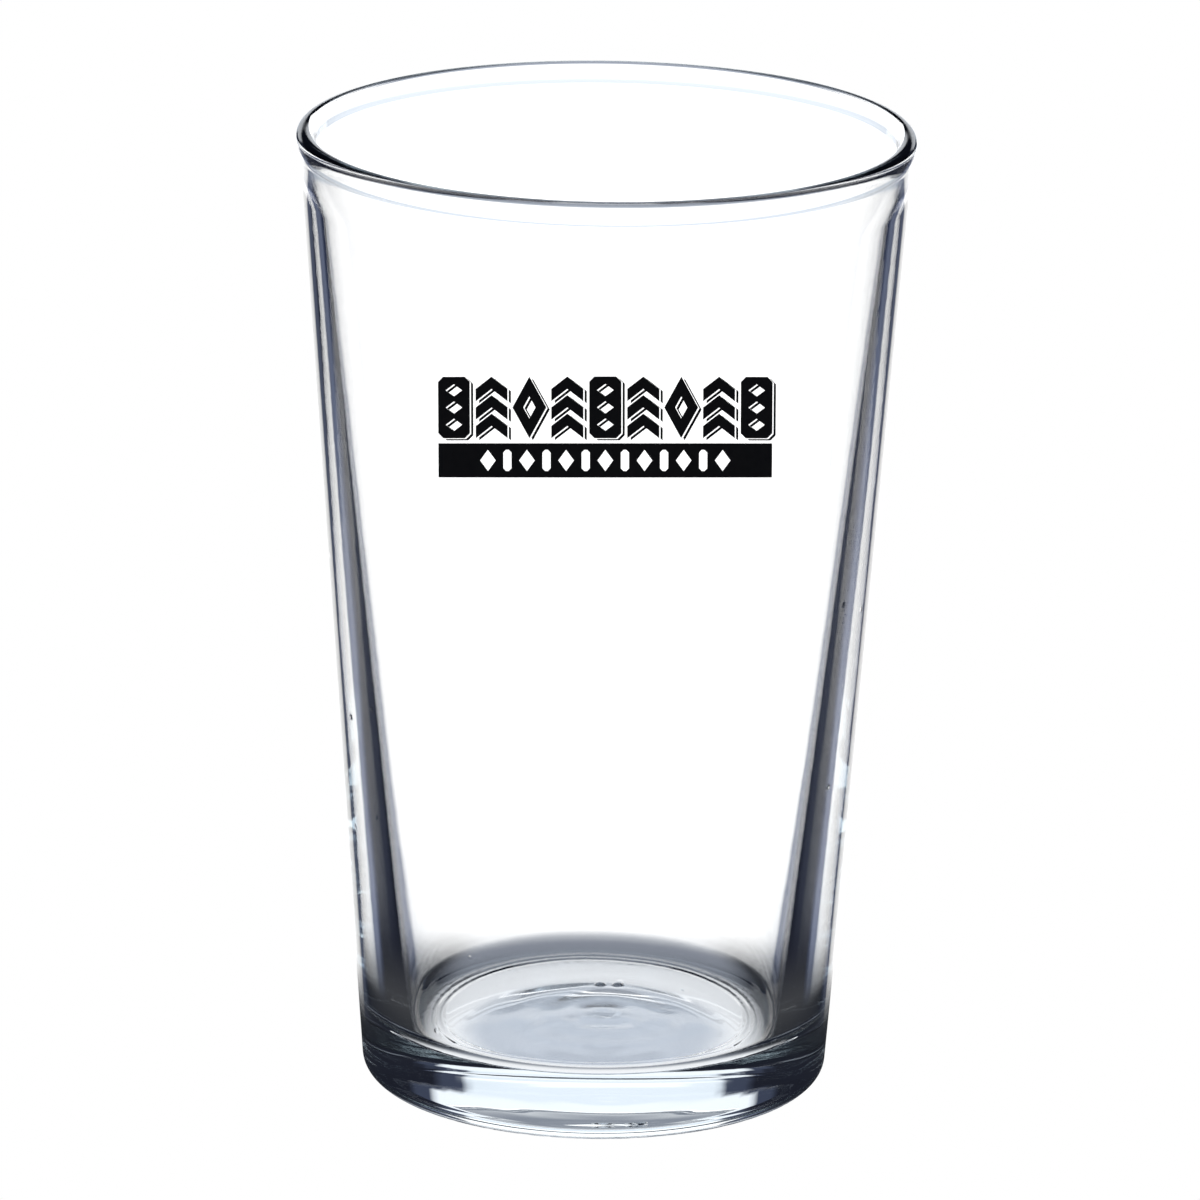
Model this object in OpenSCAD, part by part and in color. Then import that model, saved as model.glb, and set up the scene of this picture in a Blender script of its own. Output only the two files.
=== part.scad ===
// Pint glass: a one-piece pressed glass tumbler with a fired enamel print on its front.
// Millimetres, +Z up. The origin is the centre of the plane that the glass stands on,
// and the print faces -Y.

/* [Glass body] */
// Overall height
height = 141.6; // [130:0.2:160]
// Outside diameter of the mouth, over the rim bead
mouth_d = 88.9; // [84:0.1:94]
// Outside diameter of the straight wall, carried down to the table
base_d = 67.4; // [62:0.2:74]
// Wall thickness at the foot of the drink space; at the rim it is twice the rim's radius
wall_bottom = 6.8; // [4.5:0.1:7.5]
// Height of the drinking floor above the table
floor_z = 9; // [7:0.5:14]
// Radius of the corner between the drinking floor and the wall
floor_fillet = 3; // [2:0.2:5]

/* [Rim bead] */
// Radius of the fire-polished top edge
rim_r = 1.3; // [1:0.05:1.5]
// How far the bead stands out from the wall
bead_proud = 0.35; // [0.2:0.05:0.6]
// Length of the bead under its widest line
bead_drop = 2.2; // [1:0.1:3]

/* [Foot] */
// Radius of the rounded heel
heel_r = 3; // [1.5:0.1:4]
// Inner radius of the flat ring that stands on the table
foot_inner_r = 19.5; // [14:0.5:26]
// Depth of the domed hollow under the base
punt_depth = 0.6; // [0.4:0.1:2]

/* [Mould marks] */
// Radius of the two raised pips on the drinking floor
pip_r = 0.8; // [0.5:0.1:1.2]
// Height of each pip above the drinking floor
pip_h = 0.35; // [0.2:0.05:0.5]
// Distance between the two pips
pip_pitch = 2.7; // [2.6:0.1:6]
// Distance of the pips behind the middle of the floor
pip_back = 11.5; // [8:0.5:18]
// Sideways place of the pips, towards +X
pip_x = 2.2; // [-5:0.1:5]

/* [Print] */
// Height of the middle of the print above the table
print_z = 108.9; // [60:0.1:112]
// Sideways place of the middle of the print, towards +X
print_x = 0.4; // [-3:0.1:3]
// Turn of the artwork from square with the glass
print_turn = 0.8; // [-2:0.1:2]
// Thickness of the enamel
print_t = 0.1; // [0.06:0.02:0.2]
// Angle from level at which the flat artwork is projected onto the round wall
print_tilt = 15.4; // [0:0.2:20]
// Width of the print
print_w = 46.9; // [36:0.1:50]
// Height of the solid bar
bar_h = 4.8; // [4:0.1:7]
// Height of the row of motifs above the bar
row_h = 8.6; // [7:0.1:11]
// Clear gap between the bar and the row
row_gap = 0.7; // [0.4:0.1:2]
// Number of motifs in the row
motif_count = 9; // [5:2:9]
// Number of clear marks left out of the bar
mark_count = 13; // [5:2:13]
// Sideways shift of the shadow line from its motif
shadow_shift = 0.48; // [0.4:0.02:0.6]

/* [Hidden] */
$fn = 96;

// Rim: the widest line of the bead, and the straight wall under it
mouth_r = mouth_d / 2;
rim_z = height - rim_r;
wall_rim_r = mouth_r - bead_proud;
base_r = base_d / 2;
wall_slope = (wall_rim_r - base_r) / rim_z;

// Outside radius of the straight wall at height z
function wall_r(z) = base_r + wall_slope * z;

// Bead: an arc that starts at the widest line and runs back into the wall
bead_depth = mouth_r - wall_r(rim_z - bead_drop);
bead_r = (bead_drop * bead_drop + bead_depth * bead_depth) / (2 * bead_depth);

// Heel: an arc that touches the outside wall and the table
wall_angle = atan(wall_slope);
heel_x = wall_r(heel_r) - heel_r / cos(wall_angle);

// Inside wall, as a straight line from above the fillet to the rim
inner_rim_r = mouth_r - 2 * rim_r;
inner_low_z = floor_z + floor_fillet;
inner_low_r = wall_r(inner_low_z) - wall_bottom;
inner_slope = (inner_rim_r - inner_low_r) / (rim_z - inner_low_z);
inner_angle = atan(inner_slope);
fillet_x = inner_low_r - floor_fillet / cos(inner_angle);

// Sphere that hollows the underside, and the sphere that each pip is a cap of
punt_sphere_r = (foot_inner_r * foot_inner_r + punt_depth * punt_depth) / (2 * punt_depth);
pip_sphere_r = (pip_r * pip_r + pip_h * pip_h) / (2 * pip_h);

// Clearance that makes a cut run past the face it opens
past = 1;
// Half the depth over which the artwork is projected, short of the back wall
print_reach = 14;
// Bottom edge of the bar and of the row, measured from the middle of the print
print_h = bar_h + row_gap + row_h;
bar_y = -print_h / 2;
row_y = bar_y + bar_h + row_gap;
// Motifs: their width, and the pitch that spreads them over the full width of the bar
motif_w = print_w / motif_count * 0.86;
motif_pitch = (print_w - motif_w) / (motif_count - 1);
// Marks left clear in the bar: the share of its width and height that they take
mark_pitch = print_w * 0.76 / mark_count;
mark_h = bar_h * 0.62;
// Downward shift of the shadow line, and the part of both shifts that stays clear
shadow_drop = shadow_shift * 0.62;
shadow_clear = 0.36;

// Solid outside of the glass, before the drink space is taken out of it
module outer_profile() {
    heel_top = [heel_x + heel_r * cos(wall_angle), heel_r - heel_r * sin(wall_angle)];
    polygon([
        [0, 0], [heel_x, 0], heel_top, [wall_r(rim_z), rim_z], [inner_rim_r, rim_z], [0, rim_z],
    ]);
    translate([heel_x, heel_r]) circle(heel_r);
    translate([mouth_r - rim_r, rim_z]) circle(rim_r);
    intersection() {
        translate([mouth_r - bead_r, rim_z]) circle(bead_r);
        translate([mouth_r - rim_r, rim_z - bead_drop]) square([2 * rim_r, bead_drop]);
    }
}

// Drink space: flat floor, rounded corner, straight wall
module inner_profile() {
    corner_top = [
        fillet_x + floor_fillet * cos(inner_angle),
        floor_z + floor_fillet - floor_fillet * sin(inner_angle),
    ];
    polygon([
        [0, floor_z], [fillet_x, floor_z], corner_top,
        [inner_rim_r, rim_z], [inner_rim_r, height + past], [0, height + past],
    ]);
    translate([fillet_x, floor_z + floor_fillet]) circle(floor_fillet);
}

// One raised mould mark on the drinking floor, x to the side of the middle of the pair
module pip(x) {
    translate([pip_x + x, pip_back, floor_z + pip_h - pip_sphere_r]) sphere(pip_sphere_r);
}

module glass_body() {
    color([0.86, 0.92, 0.92, 0.35]) {
        difference() {
            rotate_extrude() difference() {
                outer_profile();
                inner_profile();
            }
            translate([0, 0, punt_depth - punt_sphere_r]) sphere(punt_sphere_r);
        }
        for (side = [-1, 1]) pip(side * pip_pitch / 2);
    }
}

// Projects flat artwork onto the front of the wall as a thin layer of enamel
module on_wall() {
    low = print_z - print_h;
    high = print_z + print_h;
    intersection() {
        rotate_extrude() polygon([
            [wall_r(low), low], [wall_r(low) + print_t, low],
            [wall_r(high) + print_t, high], [wall_r(high), high],
        ]);
        translate([print_x, -wall_r(print_z), print_z]) rotate([90 - print_tilt, 0, 0])
            rotate([0, 0, print_turn]) translate([0, 0, -print_reach])
                linear_extrude(2 * print_reach) children();
    }
}

// Tall shape with four cut corners, w wide and h high
module cut_corner_bar(w, h, cut) {
    polygon([
        [-w / 2, cut - h / 2], [cut - w / 2, -h / 2], [w / 2 - cut, -h / 2], [w / 2, cut - h / 2],
        [w / 2, h / 2 - cut], [w / 2 - cut, h / 2], [cut - w / 2, h / 2], [-w / 2, h / 2 - cut],
    ]);
}

module lozenge(w, h) {
    polygon([[-w / 2, 0], [0, -h / 2], [w / 2, 0], [0, h / 2]]);
}

// Upright block with three clear lozenges, one above the other
module block_motif() {
    difference() {
        cut_corner_bar(motif_w, row_h, motif_w * 0.16);
        for (level = [-1:1]) translate([0, level * row_h * 0.28]) lozenge(motif_w * 0.52, row_h * 0.2);
    }
}

// Tall lozenge with a clear lozenge in it
module lozenge_motif() {
    difference() {
        lozenge(motif_w * 1.06, row_h);
        lozenge(motif_w * 0.38, row_h * 0.36);
    }
}

// Three arrow heads, one above the other
module chevron_motif() {
    pitch = row_h * 0.3;
    arm = row_h * 0.2;
    rise = row_h - 2 * pitch - arm;
    for (level = [-1:1]) translate([0, (level + 1) * pitch - row_h / 2]) polygon([
        [-motif_w / 2, 0], [0, rise], [motif_w / 2, 0],
        [motif_w / 2, arm], [0, rise + arm], [-motif_w / 2, arm],
    ]);
}

// Places motif i of the row: chevrons at the odd places, blocks and lozenges in turn at the even ones
module motif(i) {
    translate([(i - (motif_count - 1) / 2) * motif_pitch, row_y + row_h / 2]) {
        if (i % 2 == 1) chevron_motif();
        else if (i % 4 == 0) block_motif();
        else lozenge_motif();
    }
}

module print_bar() {
    color([0.02, 0.02, 0.02]) on_wall() difference() {
        translate([-print_w / 2, bar_y]) square([print_w, bar_h]);
        for (i = [0:mark_count - 1])
            translate([(i - (mark_count - 1) / 2) * mark_pitch, bar_y + bar_h / 2]) {
                if (i % 2 == 0) lozenge(mark_pitch * 0.8, mark_h);
                else cut_corner_bar(mark_pitch * 0.42, mark_h, mark_pitch * 0.14);
            }
    }
}

module print_motifs() {
    color([0.02, 0.02, 0.02]) on_wall() for (i = [0:motif_count - 1]) motif(i);
}

module print_shadows() {
    shift = [shadow_shift, -shadow_drop];
    color([0.02, 0.02, 0.02]) on_wall() for (i = [0:motif_count - 1]) difference() {
        translate(shift) motif(i);
        translate(shift * shadow_clear) motif(i);
        motif(i);
    }
}

glass_body();
print_bar();
print_motifs();
print_shadows();
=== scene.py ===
import math

import bpy
from mathutils import Matrix, Vector, noise


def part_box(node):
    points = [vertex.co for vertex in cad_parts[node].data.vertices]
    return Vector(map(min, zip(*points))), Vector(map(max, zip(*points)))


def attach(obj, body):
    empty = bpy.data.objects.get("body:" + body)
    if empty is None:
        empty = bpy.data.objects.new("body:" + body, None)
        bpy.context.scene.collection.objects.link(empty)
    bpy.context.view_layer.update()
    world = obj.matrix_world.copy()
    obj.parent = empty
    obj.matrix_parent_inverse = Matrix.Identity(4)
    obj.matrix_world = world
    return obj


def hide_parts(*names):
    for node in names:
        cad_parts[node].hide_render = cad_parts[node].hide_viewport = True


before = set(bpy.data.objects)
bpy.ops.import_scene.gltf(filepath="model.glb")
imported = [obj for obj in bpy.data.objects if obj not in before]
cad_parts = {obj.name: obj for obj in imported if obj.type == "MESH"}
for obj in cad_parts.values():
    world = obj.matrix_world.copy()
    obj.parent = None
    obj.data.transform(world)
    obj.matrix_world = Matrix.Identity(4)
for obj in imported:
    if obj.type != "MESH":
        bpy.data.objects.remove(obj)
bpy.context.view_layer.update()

MM = 0.001

# Outline of the glass, in metres, with the mouth and the height read from the frame
glass_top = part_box("glass_body")[1]
HEIGHT = glass_top.z
MOUTH_R = glass_top.x
BASE_R = 33.7 * MM
WALL_BOTTOM = 6.8 * MM
FLOOR_Z = 9 * MM
FLOOR_FILLET = 3 * MM
RIM_R = 1.3 * MM
BEAD_PROUD = 0.35 * MM
BEAD_DROP = 2.2 * MM
HEEL_R = 3 * MM
FOOT_INNER_R = 19.5 * MM
PUNT_DEPTH = 0.6 * MM

RIM_Z = HEIGHT - RIM_R
WALL_SLOPE = (MOUTH_R - BEAD_PROUD - BASE_R) / RIM_Z
WALL_ANGLE = math.atan(WALL_SLOPE)
FILLET_Z = FLOOR_Z + FLOOR_FILLET

# Steps along each stretch of the outline, and round the axis
PUNT_STEPS, RING_STEPS, HEEL_STEPS = 32, 24, 14
WALL_STEPS, BEAD_STEPS, RIM_STEPS, FILLET_STEPS = 24, 10, 24, 14
FLOOR_EDGE_STEPS, FLOOR_STEPS, PIP_STEPS, FLOOR_MIDDLE_STEPS = 18, 8, 10, 20
SEGMENTS = 384

# Marks left by pressing the glass: the two pips on the drinking floor, and half the finely
# divided stretch of the floor over a pip, in radii of a pip
PIP_R, PIP_H, PIP_HALF_PITCH = 0.8 * MM, 0.35 * MM, 1.35 * MM
PIP_X, PIP_BACK = 2.2 * MM, 11.5 * MM
PIP_MARGIN = 1.3
# Height over the drinking floor up to which a point of the outline takes the floor's marks
FLOOR_SLACK = PIP_H / 10
# The pair of grooves at the floor's edge
GROOVES = [22.6 * MM, 23.9 * MM]
GROOVE_WIDTH, GROOVE_DEPTH = 0.35 * MM, 0.12 * MM
# The rings on the floor, how far noise bends them, and the share of their depth on the underside
SWIRL_CENTRE = Vector((1.5 * MM, -1.0 * MM, 0))
SWIRL_R, SWIRL_PITCH, SWIRL_DEPTH = 19 * MM, 5.2 * MM, 0.060 * MM
SWIRL_WARP, SWIRL_WARP_WAVES = 1.6 * MM, 90
SWIRL_WARP_APART = Vector((7, 3, 1))
UNDERSIDE_SHARE = 0.2
# The stipple under the standing ring, and the waves in the inside wall, which fade at both ends
STIPPLE_INNER_R, STIPPLE_SIZE, STIPPLE_DEPTH = 27.5 * MM, 1.1 * MM, 0.09 * MM
WAVE_DEPTH, WAVES_ROUND, WAVES_UP = 0.05 * MM, 2.2, 22
WAVE_FADE = 10 * MM


def wall_r(z):
    """Outside radius of the straight wall at height z."""
    return BASE_R + WALL_SLOPE * z


def arc(centre, radius, start, end, steps):
    """Points on an arc from start to end, in degrees, both ends included."""
    angles = [math.radians(start + (end - start) * i / steps) for i in range(steps + 1)]
    return [(centre[0] + radius * math.cos(a), centre[1] + radius * math.sin(a)) for a in angles]


def line(start, end, steps):
    """Points from start to end, both ends left out."""
    return [
        (start[0] + (end[0] - start[0]) * i / steps, start[1] + (end[1] - start[1]) * i / steps)
        for i in range(1, steps)
    ]


def underside_outline():
    """From the middle of the hollow underside over the flat ring and the heel to the wall."""
    punt_r = (FOOT_INNER_R**2 + PUNT_DEPTH**2) / (2 * PUNT_DEPTH)
    punt_half = math.degrees(math.asin(FOOT_INNER_R / punt_r))
    punt = arc((0, PUNT_DEPTH - punt_r), punt_r, 90, 90 - punt_half, PUNT_STEPS)
    heel_x = wall_r(HEEL_R) - HEEL_R / math.cos(WALL_ANGLE)
    heel = arc((heel_x, HEEL_R), HEEL_R, -90, -math.degrees(WALL_ANGLE), HEEL_STEPS)
    return punt + line(punt[-1], heel[0], RING_STEPS) + heel


def rim_outline():
    """From the foot of the bead over the fire-polished edge to the inside."""
    bead_depth = MOUTH_R - wall_r(RIM_Z - BEAD_DROP)
    bead_r = (BEAD_DROP**2 + bead_depth**2) / (2 * bead_depth)
    bead_angle = math.degrees(math.asin(BEAD_DROP / bead_r))
    bead = arc((MOUTH_R - bead_r, RIM_Z), bead_r, -bead_angle, 0, BEAD_STEPS)
    return bead + arc((MOUTH_R - RIM_R, RIM_Z), RIM_R, 0, 180, RIM_STEPS)[1:]


def fillet_outline():
    """From the foot of the inside wall round the fillet to the edge of the drinking floor."""
    low_r = wall_r(FILLET_Z) - WALL_BOTTOM
    inner_angle = math.atan((MOUTH_R - 2 * RIM_R - low_r) / (RIM_Z - FILLET_Z))
    fillet_x = low_r - FLOOR_FILLET / math.cos(inner_angle)
    return arc((fillet_x, FILLET_Z), FLOOR_FILLET, -math.degrees(inner_angle), -90, FILLET_STEPS)


def floor_outline(edge):
    """From the edge of the drinking floor to its middle, closely spaced at the grooves and the pips."""
    grooved = (GROOVES[0] - 4 * GROOVE_WIDTH, FLOOR_Z)
    pips_out, pips_in = ((PIP_BACK + side * PIP_MARGIN * PIP_R, FLOOR_Z) for side in (1, -1))
    middle = (0, FLOOR_Z)
    to_pips = line(edge, grooved, FLOOR_EDGE_STEPS) + [grooved] + line(grooved, pips_out, FLOOR_STEPS)
    over_pips = [pips_out] + line(pips_out, pips_in, PIP_STEPS) + [pips_in]
    return to_pips + over_pips + line(pips_in, middle, FLOOR_MIDDLE_STEPS) + [middle]


def glass_outlines():
    """The half section, as the outside up to the rim's inner edge and the inside down to the middle."""
    under, rim, fillet = underside_outline(), rim_outline(), fillet_outline()
    outside = under + line(under[-1], rim[0], WALL_STEPS) + rim
    inside = line(rim[-1], fillet[0], WALL_STEPS) + fillet + floor_outline(fillet[-1])
    return outside, inside


def swirl(x, y):
    """Rings left in the glass where the plunger met it, dying out towards the edge."""
    place = Vector((x, y, 0))
    waves = place * SWIRL_WARP_WAVES
    warp = Vector((noise.noise(waves), noise.noise(waves + SWIRL_WARP_APART), 0)) * SWIRL_WARP
    away = (place + warp - SWIRL_CENTRE).length
    fade = max(0.0, 1 - (away / SWIRL_R) ** 4)
    return SWIRL_DEPTH * fade * (0.5 + 0.5 * math.cos(2 * math.pi * away / SWIRL_PITCH))


def floor_relief(x, y):
    """Height of the drinking floor over its plane: two pips, a pair of fine grooves and faint rings."""
    radius = math.hypot(x, y)
    height = swirl(x, y)
    for groove in GROOVES:
        height -= GROOVE_DEPTH * math.exp(-((radius - groove) / GROOVE_WIDTH) ** 2)
    for side in (-1, 1):
        off = math.hypot(x - PIP_X - side * PIP_HALF_PITCH, y - PIP_BACK) / PIP_R
        height += PIP_H * max(0.0, 1 - off**2) ** 0.75
    return height


def underside_relief(x, y):
    """How far the underside is hollowed: faint rings in the middle and a stippled ring at the edge."""
    radius = math.hypot(x, y)
    if radius < FOOT_INNER_R:
        return UNDERSIDE_SHARE * swirl(x, y)
    if radius < STIPPLE_INNER_R:
        return 0.0
    return STIPPLE_DEPTH * max(0.0, noise.noise(Vector((x, y, 0)) / STIPPLE_SIZE))


def wall_wave(angle, z):
    """Unevenness of the inside wall, which the plunger leaves while the glass is soft."""
    place = Vector((math.cos(angle) * WAVES_ROUND, math.sin(angle) * WAVES_ROUND, z * WAVES_UP))
    return WAVE_DEPTH * noise.noise(place)


def shaped(radius, angle, z, inside):
    """A point of the turned outline with the marks of pressing added."""
    if inside and z > FILLET_Z:
        fade = min(1.0, (z - FILLET_Z) / WAVE_FADE, (RIM_Z - z) / WAVE_FADE)
        radius -= wall_wave(angle, z) * max(0.0, fade)
    x, y = radius * math.cos(angle), radius * math.sin(angle)
    if inside and z < FLOOR_Z + FLOOR_SLACK:
        z += floor_relief(x, y)
    if not inside and z < PUNT_DEPTH and radius < wall_r(0):
        z += underside_relief(x, y)
    return x, y, z


def lathe(name, outside, inside):
    """A closed turned solid whose outside starts, and whose inside ends, on the axis."""
    turned = [(point, False) for point in outside[1:]] + [(point, True) for point in inside[:-1]]
    verts = [shaped(0, 0, outside[0][1], False)]
    for (radius, z), is_inside in turned:
        for i in range(SEGMENTS):
            verts.append(shaped(radius, 2 * math.pi * i / SEGMENTS, z, is_inside))
    verts.append(shaped(0, 0, inside[-1][1], True))
    last = len(verts) - 1
    top = last - SEGMENTS
    faces = []
    for i in range(SEGMENTS):
        j = (i + 1) % SEGMENTS
        faces.append((0, 1 + j, 1 + i))
        faces.append((top + i, top + j, last))
        for ring in range(len(turned) - 1):
            low, high = 1 + ring * SEGMENTS, 1 + (ring + 1) * SEGMENTS
            faces.append((low + i, low + j, high + j, high + i))
    mesh = bpy.data.meshes.new(name)
    mesh.from_pydata(verts, [], faces)
    mesh.shade_smooth()
    piece = bpy.data.objects.new(name, mesh)
    bpy.context.collection.objects.link(piece)
    return piece


def new_material(name):
    material = bpy.data.materials.new(name)
    material.use_nodes = True
    return material, material.node_tree.nodes, material.node_tree.links


def object_noise(nodes, links, scale, detail):
    """Noise fixed to the object, with scale in waves per metre."""
    place, waves = nodes.new("ShaderNodeTexCoord"), nodes.new("ShaderNodeTexNoise")
    waves.inputs["Scale"].default_value = scale
    waves.inputs["Detail"].default_value = detail
    links.new(place.outputs["Object"], waves.inputs["Vector"])
    return waves.outputs["Fac"]


def add_bump(nodes, links, height, strength, distance, under=None):
    """A bump node over another one, if given."""
    bump = nodes.new("ShaderNodeBump")
    bump.inputs["Strength"].default_value = strength
    bump.inputs["Distance"].default_value = distance
    links.new(height, bump.inputs["Height"])
    if under:
        links.new(under.outputs["Normal"], bump.inputs["Normal"])
    return bump


def speck_height(nodes, links, scale, size):
    """Small round pits scattered one to a cell, of the given size as a share of the cell."""
    place, cells = nodes.new("ShaderNodeTexCoord"), nodes.new("ShaderNodeTexVoronoi")
    cells.inputs["Scale"].default_value = scale
    pit = nodes.new("ShaderNodeMapRange")
    pit.interpolation_type = "SMOOTHSTEP"
    pit.inputs["From Max"].default_value = size
    links.new(place.outputs["Object"], cells.inputs["Vector"])
    links.new(cells.outputs["Distance"], pit.inputs["Value"])
    return pit.outputs["Result"]


def glass_material():
    """Clear soda-lime glass with a fire-polished skin, a few seeds and a faint cool tint in its depth."""
    material, nodes, links = new_material("clear_glass")
    shader = nodes["Principled BSDF"]
    shader.inputs["Base Color"].default_value = (1, 1, 1, 1)
    shader.inputs["Roughness"].default_value = 0.0
    shader.inputs["IOR"].default_value = 1.52
    shader.inputs["Transmission Weight"].default_value = 1.0
    uneven = object_noise(nodes, links, scale=160, detail=3)
    skin = add_bump(nodes, links, uneven, strength=0.10, distance=0.05 * MM)
    specks = speck_height(nodes, links, scale=62, size=0.035)
    seeds = add_bump(nodes, links, specks, strength=0.5, distance=0.1 * MM, under=skin)
    links.new(seeds.outputs["Normal"], shader.inputs["Normal"])
    absorb = nodes.new("ShaderNodeVolumeAbsorption")
    absorb.inputs["Color"].default_value = (0.72, 0.81, 0.83, 1)
    absorb.inputs["Density"].default_value = 6.0
    links.new(absorb.outputs["Volume"], nodes["Material Output"].inputs["Volume"])
    return material


def enamel_material():
    """Fired black enamel: an opaque, glassy film with orange peel and a few pinholes."""
    material, nodes, links = new_material("black_enamel")
    shader = nodes["Principled BSDF"]
    shader.inputs["IOR"].default_value = 1.5
    tone = nodes.new("ShaderNodeMapRange")
    tone.inputs["To Min"].default_value = 0.30
    tone.inputs["To Max"].default_value = 0.46
    links.new(object_noise(nodes, links, scale=420, detail=4), tone.inputs["Value"])
    links.new(tone.outputs["Result"], shader.inputs["Roughness"])
    shade = nodes.new("ShaderNodeMix")
    shade.data_type = "RGBA"
    shade.inputs["A"].default_value = (0.0035, 0.0035, 0.0045, 1)
    shade.inputs["B"].default_value = (0.008, 0.008, 0.009, 1)
    links.new(object_noise(nodes, links, scale=900, detail=2), shade.inputs["Factor"])
    links.new(shade.outputs["Result"], shader.inputs["Base Color"])
    dimples = object_noise(nodes, links, scale=1500, detail=2)
    peel = add_bump(nodes, links, dimples, strength=0.25, distance=0.05 * MM)
    specks = speck_height(nodes, links, scale=500, size=0.06)
    holes = add_bump(nodes, links, specks, strength=0.5, distance=0.04 * MM, under=peel)
    links.new(holes.outputs["Normal"], shader.inputs["Normal"])
    return material


# Camera, at the photograph's viewing angle: place in metres, downward pitch and roll in radians,
# lens and sensor in millimetres
CAMERA_BACK, CAMERA_HEIGHT = 1.3436, 0.4636
CAMERA_PITCH, CAMERA_ROLL = 0.2839, 0.0142
CAMERA_LENS, CAMERA_SENSOR = 289.88, 36
CAMERA_CLIP = (0.05, 50)


def add_camera():
    data = bpy.data.cameras.new("camera")
    data.lens = CAMERA_LENS
    data.sensor_width = CAMERA_SENSOR
    data.clip_start, data.clip_end = CAMERA_CLIP
    made = bpy.data.objects.new("camera", data)
    bpy.context.collection.objects.link(made)
    forward = Vector((0, math.cos(CAMERA_PITCH), -math.sin(CAMERA_PITCH)))
    level = Vector((1, 0, 0))
    upright = level.cross(forward)
    turn_cos, turn_sin = math.cos(CAMERA_ROLL), math.sin(CAMERA_ROLL)
    across = level * turn_cos + upright * turn_sin
    up = upright * turn_cos - level * turn_sin
    place = Matrix((across, up, -forward)).transposed().to_4x4()
    place.translation = Vector((0, -CAMERA_BACK, CAMERA_HEIGHT))
    made.matrix_world = place
    bpy.context.scene.camera = made
    return made


# Studio: a dome round the glass that turns about the glass's axis with the camera, as in a
# turntable shot. In the tables, side is the angle to either side of the plane that the camera looks
# along, and rise the angle up from level behind the glass, both in degrees from the glass's middle.
DOME_R = 0.4
DOME_STEP = 1.5
WHITE = Vector((1.55, 1.55, 1.55))
COOL = Vector((1.14, 1.19, 1.26))
PALE = Vector((0.96, 1.04, 1.14))
SKY = Vector((0.66, 0.75, 0.88))
TABLE_GREY = Vector((0.47, 0.52, 0.61))
TABLE_DARK = Vector((0.32, 0.345, 0.41))
SLATE = Vector((0.20, 0.235, 0.35))
SLATE_DARK = Vector((0.040, 0.053, 0.105))
SLATE_DEEP = Vector((0.054, 0.066, 0.108))
BLACK = Vector((0.012, 0.014, 0.024))
# Colour straight ahead, by rise
AHEAD = [
    (-100, BLACK), (-80, TABLE_DARK), (-50, TABLE_DARK), (-38, TABLE_GREY), (-28, WHITE), (2, WHITE),
    (5, PALE), (10, PALE), (13, COOL), (21, COOL), (24, BLACK), (30, BLACK), (33, SKY), (60, SKY),
    (66, BLACK),
]
# Half the width of the part straight ahead, in degrees of side, by rise
AHEAD_HALF = [
    (-50, 12), (-42, 17), (-34, 23), (-28, 26.5), (-6, 26), (-1, 21), (10, 20), (13.5, 29), (22, 29),
    (26, 20), (34, 14),
]
# Cards beside it: their colour and the colour of their far edge by rise, and how far they show by rise
CARD, CARD_EDGE = [(-6, SLATE), (-1, SLATE_DEEP)], [(-6, SLATE_DARK), (-1, BLACK)]
CARD_SHARE = [(-44, 0), (-38, 1), (20, 1), (24, 0)]
# Degrees of side past that half width where a card starts, starts to fade, is nearly gone and ends
CARD_SIDES = (2.5, 6.5, 10, 13)


def ramp(value, stops):
    """Number or colour at value, on a smooth ramp through (place, number or colour) stops."""
    if value <= stops[0][0]:
        return stops[0][1]
    for (low, first), (high, second) in zip(stops, stops[1:]):
        if value <= high:
            part = (value - low) / (high - low)
            return first + (second - first) * (part * part * (3 - 2 * part))
    return stops[-1][1]


def studio_light(side, rise):
    """Colour of the studio in one direction, both angles in degrees."""
    half, share = ramp(rise, AHEAD_HALF), ramp(rise, CARD_SHARE)
    card, card_edge = (BLACK.lerp(ramp(rise, stops), share) for stops in (CARD, CARD_EDGE))
    start, fade, low, end = (half + step for step in CARD_SIDES)
    ahead = ramp(rise, AHEAD)
    return ramp(abs(side), [(half, ahead), (start, card), (fade, card), (low, card_edge), (end, BLACK)])


def glow_material(name, color=None):
    """An even glow, or one that reads its colour from the mesh if no colour is given."""
    material, nodes, links = new_material(name)
    nodes.remove(nodes["Principled BSDF"])
    glow = nodes.new("ShaderNodeEmission")
    if color:
        glow.inputs["Color"].default_value = (*color, 1)
    else:
        painted = nodes.new("ShaderNodeVertexColor")
        painted.layer_name = "light"
        links.new(painted.outputs["Color"], glow.inputs["Color"])
    links.new(glow.outputs["Emission"], nodes["Material Output"].inputs["Surface"])
    return material


def add_stage(name, verts, faces, material):
    """A mesh that belongs to the studio and isn't part of the object."""
    mesh = bpy.data.meshes.new(name)
    mesh.from_pydata(verts, [], faces)
    mesh.materials.append(material)
    made = bpy.data.objects.new(name, mesh)
    bpy.context.collection.objects.link(made)
    return made


def paint_light(made, colors):
    """Writes the colours, one to a point, to the layer that glow_material reads."""
    light = made.data.color_attributes.new("light", "FLOAT_COLOR", "POINT")
    for point, color in zip(light.data, colors):
        point.color = color


def add_turntable(camera):
    """An empty on the glass's axis that takes the camera's turn about Z and nothing else."""
    turntable = bpy.data.objects.new("turntable", None)
    bpy.context.collection.objects.link(turntable)
    follow = turntable.constraints.new("COPY_ROTATION")
    follow.target = camera
    follow.use_x, follow.use_y, follow.use_z = False, False, True
    return turntable


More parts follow.
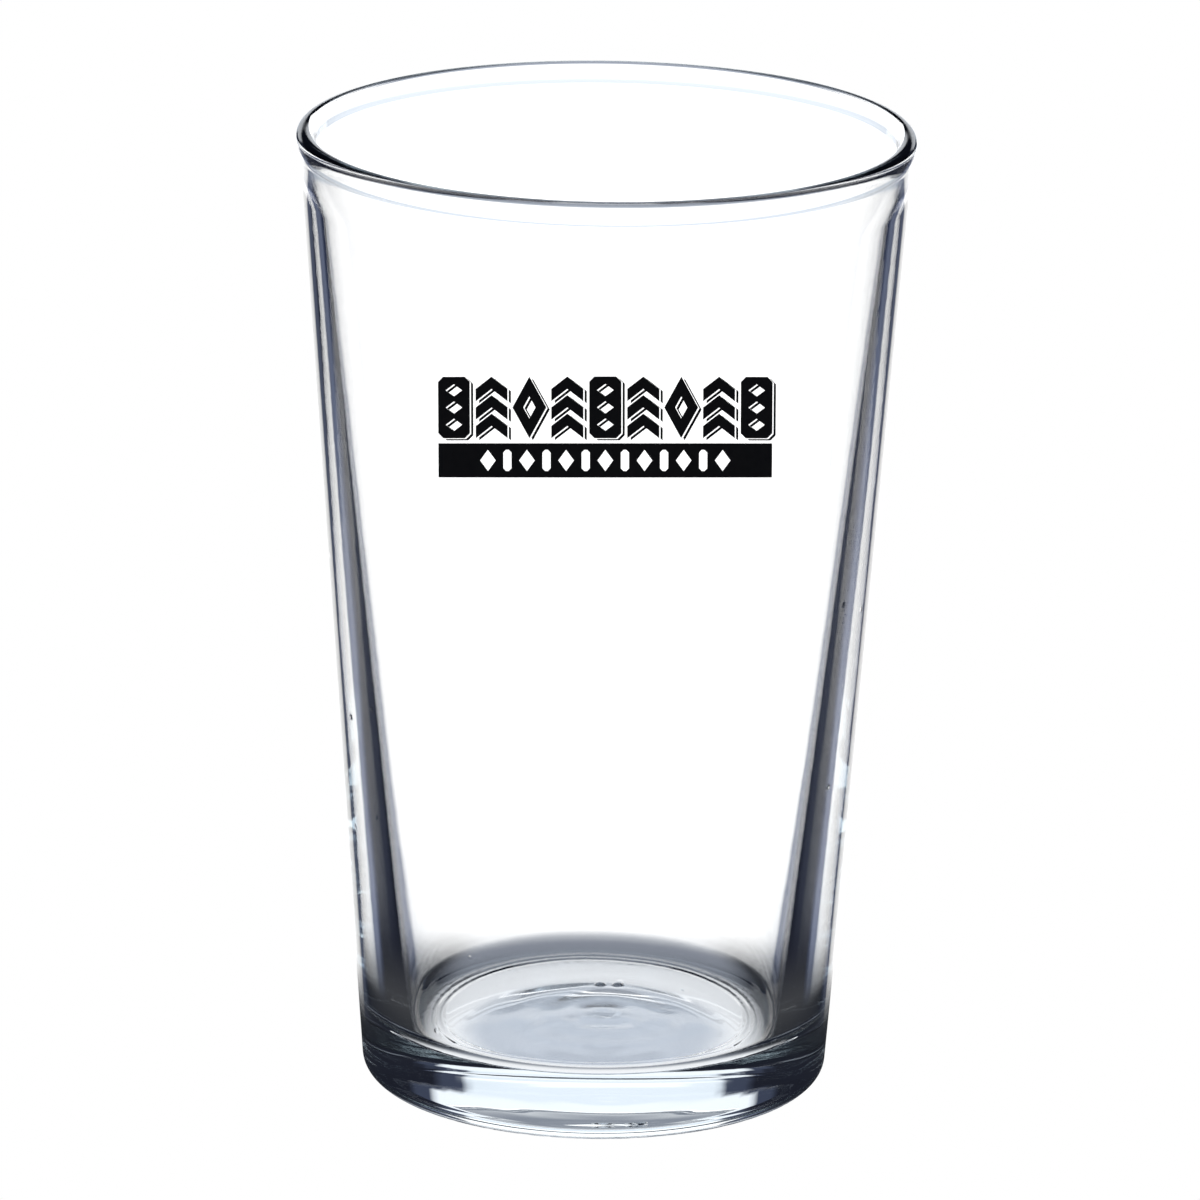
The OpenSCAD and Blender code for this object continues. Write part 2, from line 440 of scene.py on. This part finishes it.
def add_dome(turntable):
    """A sphere round the glass, painted with the studio's light at every DOME_STEP of side and rise."""
    verts, colors, faces = [], [], []
    middle = Vector((0, 0, HEIGHT / 2))
    side_count = round(180 / DOME_STEP) - 1
    rise_count = round(360 / DOME_STEP)
    for i in range(side_count):
        side = DOME_STEP * (i + 1) - 90
        for j in range(rise_count):
            rise = DOME_STEP * j - 180
            s, r = math.radians(side), math.radians(rise)
            way = Vector((math.sin(s), math.cos(s) * math.cos(r), math.cos(s) * math.sin(r)))
            verts.append(middle + way * DOME_R)
            colors.append((*studio_light(side, rise), 1))
    for i in range(side_count - 1):
        for j in range(rise_count):
            k = (j + 1) % rise_count
            low, high = i * rise_count, (i + 1) * rise_count
            faces.append((low + j, high + j, high + k, low + k))
    for i in (0, side_count - 1):
        faces.append([i * rise_count + j for j in range(rise_count)])
    dome = add_stage("studio_dome", verts, faces, glow_material("studio_glow"))
    paint_light(dome, colors)
    dome.parent = turntable
    dome.visible_camera = False
    dome.visible_shadow = False


# Floor: a pale floor that the camera sees, and a glowing table with painted light and painted shadow that
# only the glass sees
FLOOR_HALF = 4.0
FLOOR_DROP = 0.2 * MM
TABLE_STEP, TABLE_TURNS = 1 * MM, 96
# Painted light of the table, with painted shade under the glass's hollow middle and a painted shadow of
# the glass in a dark ring round the foot, and how much of the studio it covers, by distance from the
# glass's axis
TABLE_LIGHT_AND_SHADOW = [
    (0.000, Vector((0.43, 0.49, 0.59))), (0.016, Vector((0.47, 0.53, 0.63))),
    (0.0215, Vector((1.0, 1.02, 1.05))), (0.026, Vector((0.95, 0.97, 1.0))),
    (0.032, Vector((0.22, 0.245, 0.29))), (0.040, Vector((0.28, 0.305, 0.36))),
    (0.054, Vector((0.70, 0.72, 0.76))),
]
TABLE_COVER = [(0.044, 1), (0.070, 0)]
# Painted shade: share of the table's brightness that is left, darker to either side of the camera's line,
# by distance from that line
TABLE_SHADE = [(0.021, 1), (0.031, 0.10)]


def add_floor():
    """The pale floor, which doesn't show in the glass or through it."""
    corners = [(x * FLOOR_HALF, y * FLOOR_HALF, 0) for x, y in ((-1, -1), (1, -1), (1, 1), (-1, 1))]
    floor = add_stage("floor", corners, [(0, 1, 2, 3)], glow_material("floor_white", (1, 1, 1)))
    floor.location.z = -FLOOR_DROP
    floor.visible_transmission = False
    floor.visible_glossy = False


def table_material():
    """A painted glow that lets the studio through where the paint's alpha is low."""
    material = glow_material("table_glow")
    nodes, links = material.node_tree.nodes, material.node_tree.links
    mix, clear = nodes.new("ShaderNodeMixShader"), nodes.new("ShaderNodeBsdfTransparent")
    links.new(nodes["Color Attribute"].outputs["Alpha"], mix.inputs["Fac"])
    links.new(clear.outputs["BSDF"], mix.inputs[1])
    links.new(nodes["Emission"].outputs["Emission"], mix.inputs[2])
    links.new(mix.outputs["Shader"], nodes["Material Output"].inputs["Surface"])
    return material


def add_table(turntable):
    """The lit table round the foot, a glowing disc with painted light and painted shadow, whose glow
    thins out to nothing at its edge.
    """
    verts, colors, faces = [], [], []
    rings = int(TABLE_COVER[-1][0] / TABLE_STEP)
    for ring in range(1, rings + 1):
        radius = ring * TABLE_STEP
        for i in range(TABLE_TURNS):
            angle = 2 * math.pi * i / TABLE_TURNS
            x, y = radius * math.cos(angle), radius * math.sin(angle)
            verts.append((x, y, 0))
            # Painted light, with painted shade under the hollow middle, the glass's painted shadow round
            # the foot and painted shade towards either side
            glow = ramp(radius, TABLE_LIGHT_AND_SHADOW) * ramp(abs(x), TABLE_SHADE)
            colors.append((*glow, ramp(radius, TABLE_COVER)))
    for ring in range(rings - 1):
        low, high = ring * TABLE_TURNS, (ring + 1) * TABLE_TURNS
        for i in range(TABLE_TURNS):
            j = (i + 1) % TABLE_TURNS
            faces.append((low + i, high + i, high + j, low + j))
    faces.append(list(range(TABLE_TURNS)))
    table = add_stage("table", verts, faces, table_material())
    paint_light(table, colors)
    table.location.z = -FLOOR_DROP / 2
    table.parent = turntable
    table.visible_camera = False


def add_world():
    """Plain white for the camera. The glass sees the dome in front of it."""
    world = bpy.data.worlds.new("world")
    bpy.context.scene.world = world
    world.use_nodes = True
    world.node_tree.nodes["Background"].inputs["Color"].default_value = (1, 1, 1, 1)


def add_glass():
    """The tumbler, with every mark of pressing, in place of the plain node."""
    glass = lathe("glass_tumbler", *glass_outlines())
    glass.data.materials.append(glass_material())
    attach(glass, "root")
    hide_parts("glass_body")


def finish_print():
    """Gives the three nodes of the print, which stay as the frame has them, their enamel."""
    enamel = enamel_material()
    for node in ("print_bar", "print_motifs", "print_shadows"):
        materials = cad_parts[node].data.materials
        materials.clear()
        materials.append(enamel)


# Most bounces of a ray in the glass, and most clear surfaces that it passes
GLASS_BOUNCES, CLEAR_BOUNCES = 32, 16


def set_light_paths():
    """Enough bounces for light that passes both walls and the base, none of it clamped."""
    scene = bpy.context.scene
    scene.view_settings.view_transform = "Standard"
    scene.cycles.max_bounces = GLASS_BOUNCES
    scene.cycles.transmission_bounces = GLASS_BOUNCES
    scene.cycles.glossy_bounces = GLASS_BOUNCES
    scene.cycles.transparent_max_bounces = CLEAR_BOUNCES
    scene.cycles.caustics_reflective = True
    scene.cycles.caustics_refractive = True
    scene.cycles.sample_clamp_indirect = 0


turntable = add_turntable(add_camera())
add_dome(turntable)
add_floor()
add_table(turntable)
add_world()
add_glass()
finish_print()
set_light_paths()
